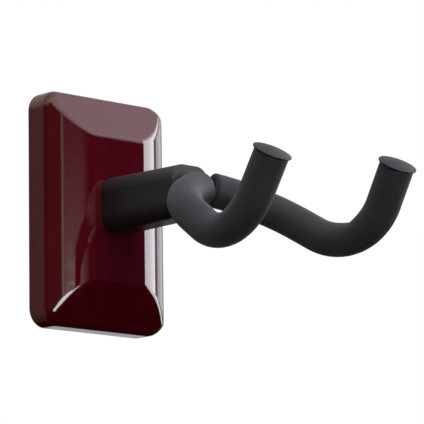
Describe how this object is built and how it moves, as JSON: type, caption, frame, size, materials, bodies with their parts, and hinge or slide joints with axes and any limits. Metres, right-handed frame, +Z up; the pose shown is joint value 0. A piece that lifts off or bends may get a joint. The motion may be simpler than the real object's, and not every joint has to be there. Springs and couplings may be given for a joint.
{
  "type": "wall guitar hanger",
  "caption": "Wall hanger for a guitar: a lacquered wooden block with bevelled sides, a black arm and a swivelling, padded two-prong yoke that cradles the neck under the headstock.",
  "frame": {"origin": "centre of the block's back face, on the wall plane y = 0", "axes": "+Z up, -Y out of the wall towards the room, +X to the right for someone facing the wall"},
  "size_m": [0.0872, 0.1576, 0.101],
  "materials": {
    "lacquered_wood": "deep cherry lacquer, high gloss, over fine straight grain; bare wood in the recess and holes",
    "plated_steel": "bright zinc plate",
    "black_arm": "satin black, finely grained",
    "plain_steel": "machined, lightly oiled",
    "bearing_plastic": "natural acetal",
    "blue_nylon": "nylon locking ring",
    "black_steel": "black powder coat",
    "foam": "closed-cell foam padding, charcoal, soft sheen",
    "cap_rubber": "moulded vinyl end cap, satin"
  },
  "bodies": {
    "mount": {"wood_block": "lacquered_wood", "back_plate": "plated_steel", "plate_screws": "plated_steel", "arm": "black_arm", "anchor_block": "plain_steel", "anchor_pin": "plain_steel", "arm_bolts": "plated_steel", "bolt_lock_washers": "plated_steel", "pivot_bush_front": "bearing_plastic", "pivot_bush_rear": "bearing_plastic"},
    "yoke": {"pivot_shaft": "black_steel", "disc_spring": "plain_steel", "pivot_washer": "plated_steel", "lock_nut": "plated_steel", "lock_nut_insert": "blue_nylon", "yoke_rod": "black_steel", "sleeve_left": "foam", "sleeve_right": "foam", "cap_left": "cap_rubber", "cap_right": "cap_rubber"}
  },
  "joints": [
    {"name": "yoke_swivel", "type": "hinge", "parent": "mount", "child": "yoke", "pos_m": [0, -0.0739, 0.002], "axis": [0, 1, 0], "continuous": true}
  ]
}
